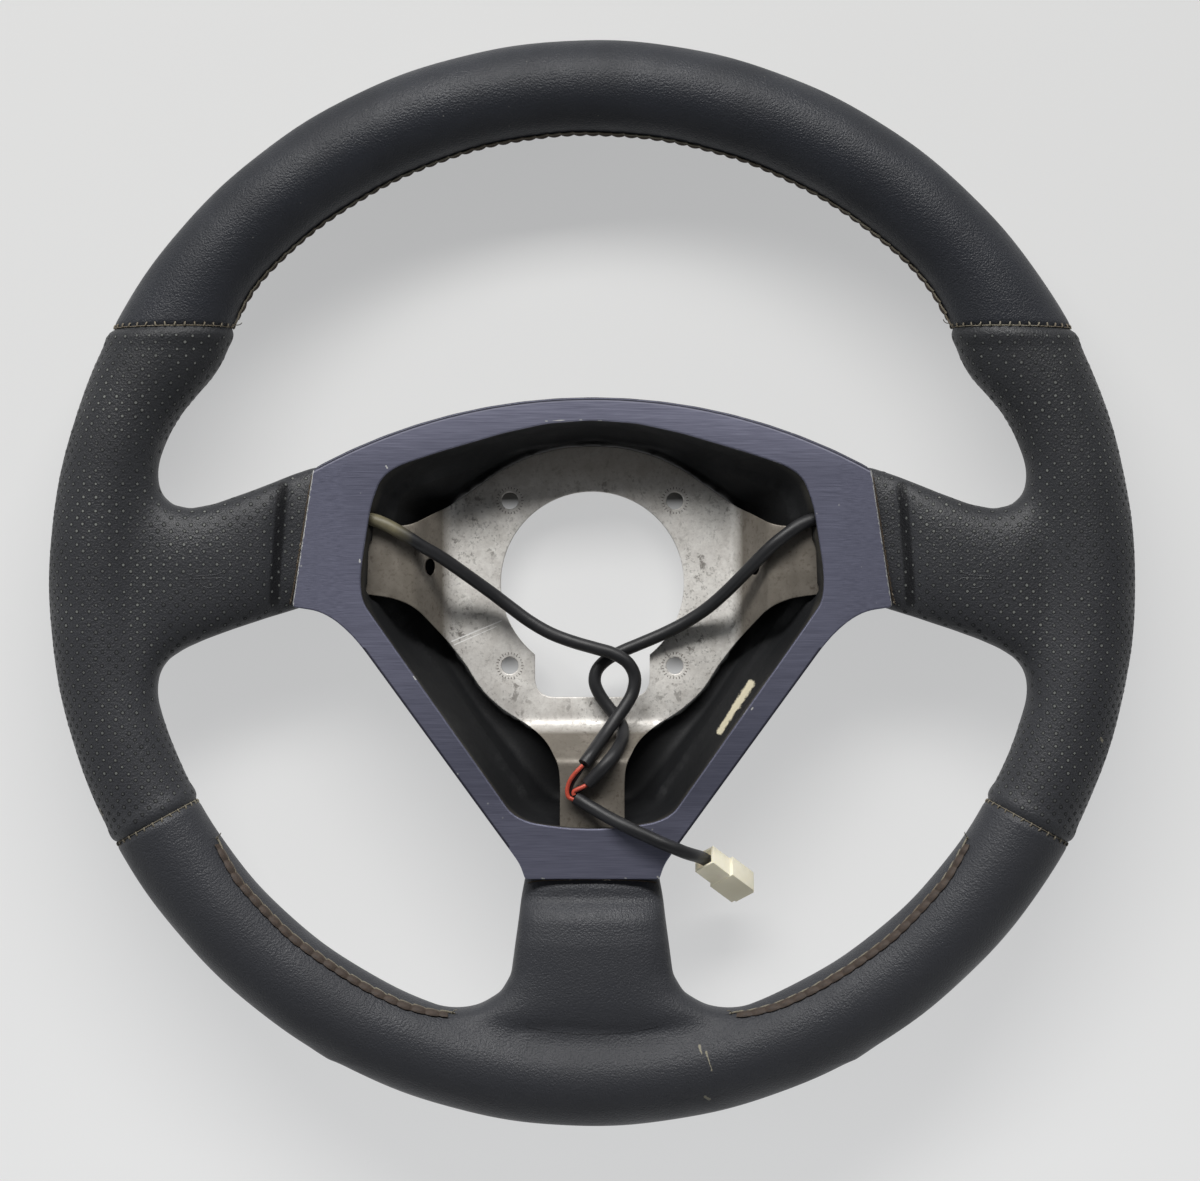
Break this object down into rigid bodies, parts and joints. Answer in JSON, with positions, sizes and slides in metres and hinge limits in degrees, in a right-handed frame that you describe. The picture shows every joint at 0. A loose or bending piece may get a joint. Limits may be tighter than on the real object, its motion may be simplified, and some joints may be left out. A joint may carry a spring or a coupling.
{
  "type": "car steering wheel",
  "caption": "Leather-covered car steering wheel with spokes, an open hub behind its metal trim, and the horn leads.",
  "frame": {"origin": "centre of the bolt pattern on the back face of the hub frame", "axes": "+Z along the steering axis towards the driver, +Y to 12 o'clock, +X to the driver's right"},
  "size_m": [0.35, 0.35, 0.042],
  "materials": {
    "hub_metal": "rolled, dull, specked",
    "hoop_steel": "plain",
    "foam": "grained skin",
    "leather": "smooth, worn",
    "leather_grip": "perforated",
    "trim": "brushed, blue anodised",
    "lead_sheath": "matte",
    "wire_red": "satin",
    "wire_black": "satin",
    "nylon": "translucent",
    "brass": "bright",
    "foil": "plain"
  },
  "bodies": {
    "root": {"hub_frame": "hub_metal", "rim_hoop": "hoop_steel", "foam_body": "foam", "leather_top": "leather", "leather_bottom": "leather", "grip_left": "leather_grip", "grip_right": "leather_grip", "trim_frame": "trim", "horn_switch_left": "foil", "horn_switch_right": "foil", "lead_left": "lead_sheath", "lead_right": "lead_sheath", "lead_main": "lead_sheath", "wire_red_left": "wire_red", "wire_black_left": "wire_black", "wire_red_right": "wire_red", "wire_black_right": "wire_black", "connector_housing": "nylon", "connector_terminals": "brass"}
  },
  "joints": []
}
